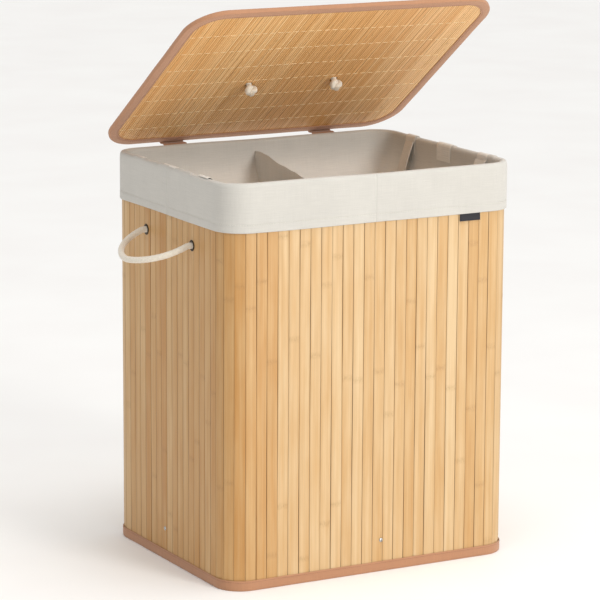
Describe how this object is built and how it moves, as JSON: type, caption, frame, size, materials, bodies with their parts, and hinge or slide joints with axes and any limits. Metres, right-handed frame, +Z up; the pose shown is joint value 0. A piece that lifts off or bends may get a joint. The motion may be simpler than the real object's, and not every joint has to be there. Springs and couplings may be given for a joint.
{
  "type": "laundry hamper",
  "caption": "Rectangular slatted laundry hamper with rounded corners, a two-compartment cloth liner, rope handles and a hinged lid.",
  "frame": {"origin": "on the floor, under the middle of the whole footprint, which takes in the lid's hinge edge standing out behind the body", "axes": "+X along the wide front, to the right as seen from the front; +Y from the front to the back, where the lid is hinged; +Z up"},
  "size_m": [0.628, 0.4048, 0.8401],
  "materials": {
    "bamboo_slats": "satin lacquered bamboo",
    "bamboo_strips": "satin bamboo strips",
    "backing_cloth": "non-woven cloth",
    "binding_cloth": "smooth bound non-woven cloth",
    "linen": "woven linen-look cloth",
    "hook_tape": "ribbed hook tape",
    "hook_tape_dark": "hook tape",
    "rope": "twisted cotton rope",
    "tag_cloth": "blank woven tag",
    "steel": "plain steel",
    "eyelet_metal": "dark plated steel",
    "rail_wood": "planed wood",
    "board": "fibreboard"
  },
  "bodies": {
    "hamper_body": {"front_slats": "bamboo_slats", "back_slats": "bamboo_slats", "left_slats": "bamboo_slats", "right_slats": "bamboo_slats", "corner_slats_front_left": "bamboo_slats", "corner_slats_front_right": "bamboo_slats", "corner_slats_back_left": "bamboo_slats", "corner_slats_back_right": "bamboo_slats", "mat_backing": "backing_cloth", "foot_binding": "binding_cloth", "rim_binding": "binding_cloth", "hinge_strap_left": "binding_cloth", "hinge_strap_right": "binding_cloth", "rim_hoop": "steel", "screw_front": "steel", "screw_back": "steel", "screw_left": "steel", "screw_right": "steel", "eyelet_left_front": "eyelet_metal", "rope_knot_left_front": "rope", "eyelet_left_back": "eyelet_metal", "rope_knot_left_back": "rope", "eyelet_right_front": "eyelet_metal", "rope_knot_right_front": "rope", "eyelet_right_back": "eyelet_metal", "rope_knot_right_back": "rope", "hook_tab_left": "hook_tape", "hook_pad_left": "hook_tape_dark", "hook_tab_right": "hook_tape", "hook_pad_right": "hook_tape_dark", "liner_cuff": "linen", "liner_bag": "linen", "liner_floor": "linen", "liner_divider": "linen", "base_rail_front": "rail_wood", "base_rail_back": "rail_wood", "base_rail_left": "rail_wood", "base_rail_right": "rail_wood", "base_board": "board", "blank_tag": "tag_cloth"},
    "lid": {"lid_strip_mat": "bamboo_strips", "lid_slats": "bamboo_slats", "lid_binding": "binding_cloth", "lid_eyelet_left": "eyelet_metal", "lid_eyelet_right": "eyelet_metal", "lid_knot_left": "rope", "lid_knot_right": "rope", "lid_hinge_tab_left": "binding_cloth", "lid_hinge_tab_right": "binding_cloth"},
    "side_handle_left": {"rope_handle_left": "rope"},
    "side_handle_right": {"rope_handle_right": "rope"},
    "lid_handle": {"lid_rope_handle": "rope"},
    "bag_strap_left": {"liner_strap_left": "linen"},
    "bag_strap_right": {"liner_strap_right": "linen"}
  },
  "joints": [
    {"name": "lid_hinge", "type": "hinge", "parent": "hamper_body", "child": "lid", "pos_m": [0, 0.1966, 0.6025], "axis": [-1, 0, 0], "range_deg": [-35.2, 214.8]},
    {"name": "side_handle_left_swing", "type": "hinge", "parent": "hamper_body", "child": "side_handle_left", "pos_m": [-0.247, -0.0094, 0.495], "axis": [0, 1, 0], "range_deg": [-65, 102]},
    {"name": "side_handle_right_swing", "type": "hinge", "parent": "hamper_body", "child": "side_handle_right", "pos_m": [0.247, -0.0094, 0.495], "axis": [0, -1, 0], "range_deg": [-65, 102]},
    {"name": "lid_handle_swing", "type": "hinge", "parent": "lid", "child": "lid_handle", "pos_m": [0, 0.06273, 0.71284], "axis": [1, 0, 0], "range_deg": [-8, 156]},
    {"name": "bag_strap_left_swing", "type": "hinge", "parent": "hamper_body", "child": "bag_strap_left", "pos_m": [-0.2296, -0.0094, 0.592], "axis": [0, -1, 0], "range_deg": [-5.5, 60]},
    {"name": "bag_strap_right_swing", "type": "hinge", "parent": "hamper_body", "child": "bag_strap_right", "pos_m": [0.2296, -0.0094, 0.592], "axis": [0, 1, 0], "range_deg": [-5.5, 60]}
  ]
}
